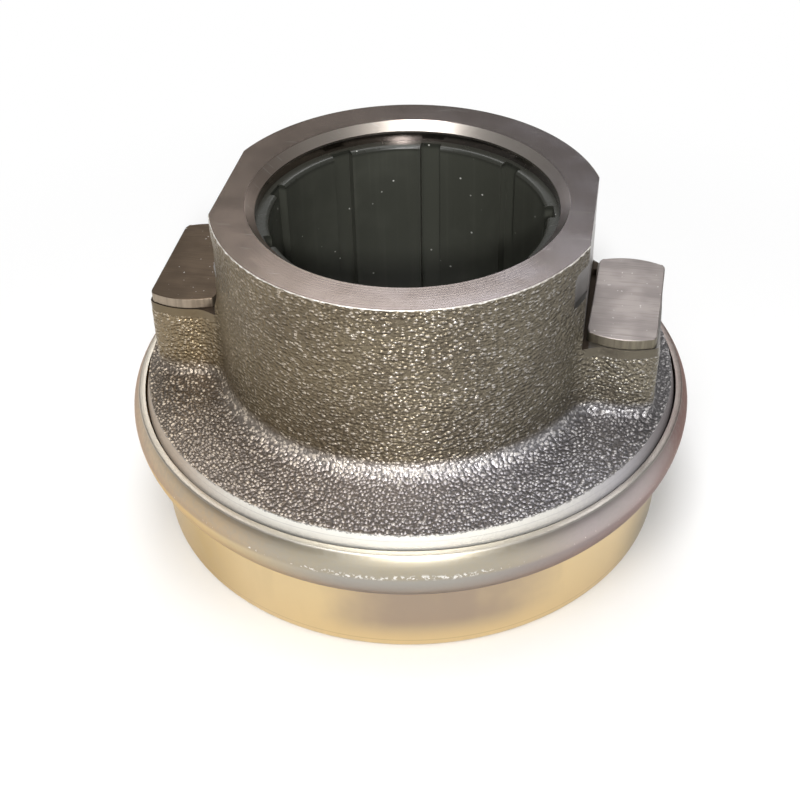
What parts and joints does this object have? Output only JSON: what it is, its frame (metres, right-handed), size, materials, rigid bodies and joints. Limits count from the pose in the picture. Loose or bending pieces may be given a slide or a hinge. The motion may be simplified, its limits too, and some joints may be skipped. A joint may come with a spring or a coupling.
{
  "type": "clutch release bearing",
  "caption": "Clutch release bearing: a flanged cast-iron sleeve with two fork pads and a plastic-lined bore, carrying a rotating steel thrust ring on caged balls.",
  "frame": {"origin": "bore axis at the thrust face, the lowest plane of the part", "axes": "+Z along the bore axis from the thrust face to the collar; +X through the right fork pad"},
  "size_m": [0.1252, 0.1252, 0.074],
  "materials": {
    "cast_iron": "as-cast skin with turned and milled faces",
    "bush_plastic": "moulded, glossy",
    "wear_pad_steel": "milled",
    "ring_steel": "ground",
    "thrust_ring_steel": "satin, straw tinted",
    "cage_plastic": "moulded",
    "seal_rubber": "moulded",
    "cover_steel": "rolled sheet, satin",
    "ball_steel": "polished"
  },
  "bodies": {
    "carrier": {"carrier_sleeve": "cast_iron", "guide_bush": "bush_plastic", "wear_pad_left": "wear_pad_steel", "wear_pad_right": "wear_pad_steel", "inner_ring": "ring_steel"},
    "thrust_race": {"outer_ring": "thrust_ring_steel", "dust_cover": "cover_steel", "front_seal": "seal_rubber"},
    "ball_set": {"ball_cage": "cage_plastic", "ball_01": "ball_steel", "ball_02": "ball_steel", "ball_03": "ball_steel", "ball_04": "ball_steel", "ball_05": "ball_steel", "ball_06": "ball_steel", "ball_07": "ball_steel", "ball_08": "ball_steel", "ball_09": "ball_steel", "ball_10": "ball_steel", "ball_11": "ball_steel", "ball_12": "ball_steel", "ball_13": "ball_steel", "ball_14": "ball_steel", "ball_15": "ball_steel", "ball_16": "ball_steel", "ball_17": "ball_steel", "ball_18": "ball_steel", "ball_19": "ball_steel", "ball_20": "ball_steel", "ball_21": "ball_steel", "ball_22": "ball_steel"}
  },
  "joints": [
    {"name": "outer_ring_spin", "type": "hinge", "parent": "carrier", "child": "thrust_race", "pos_m": [0, 0, 0.01302], "axis": [0, 0, 1], "continuous": true},
    {"name": "cage_orbit", "type": "hinge", "parent": "carrier", "child": "ball_set", "pos_m": [0, 0, 0.01302], "axis": [0, 0, 1], "continuous": true}
  ],
  "couplings": [
    {"joint": "cage_orbit", "follows": "outer_ring_spin", "ratio": 0.5386}
  ]
}
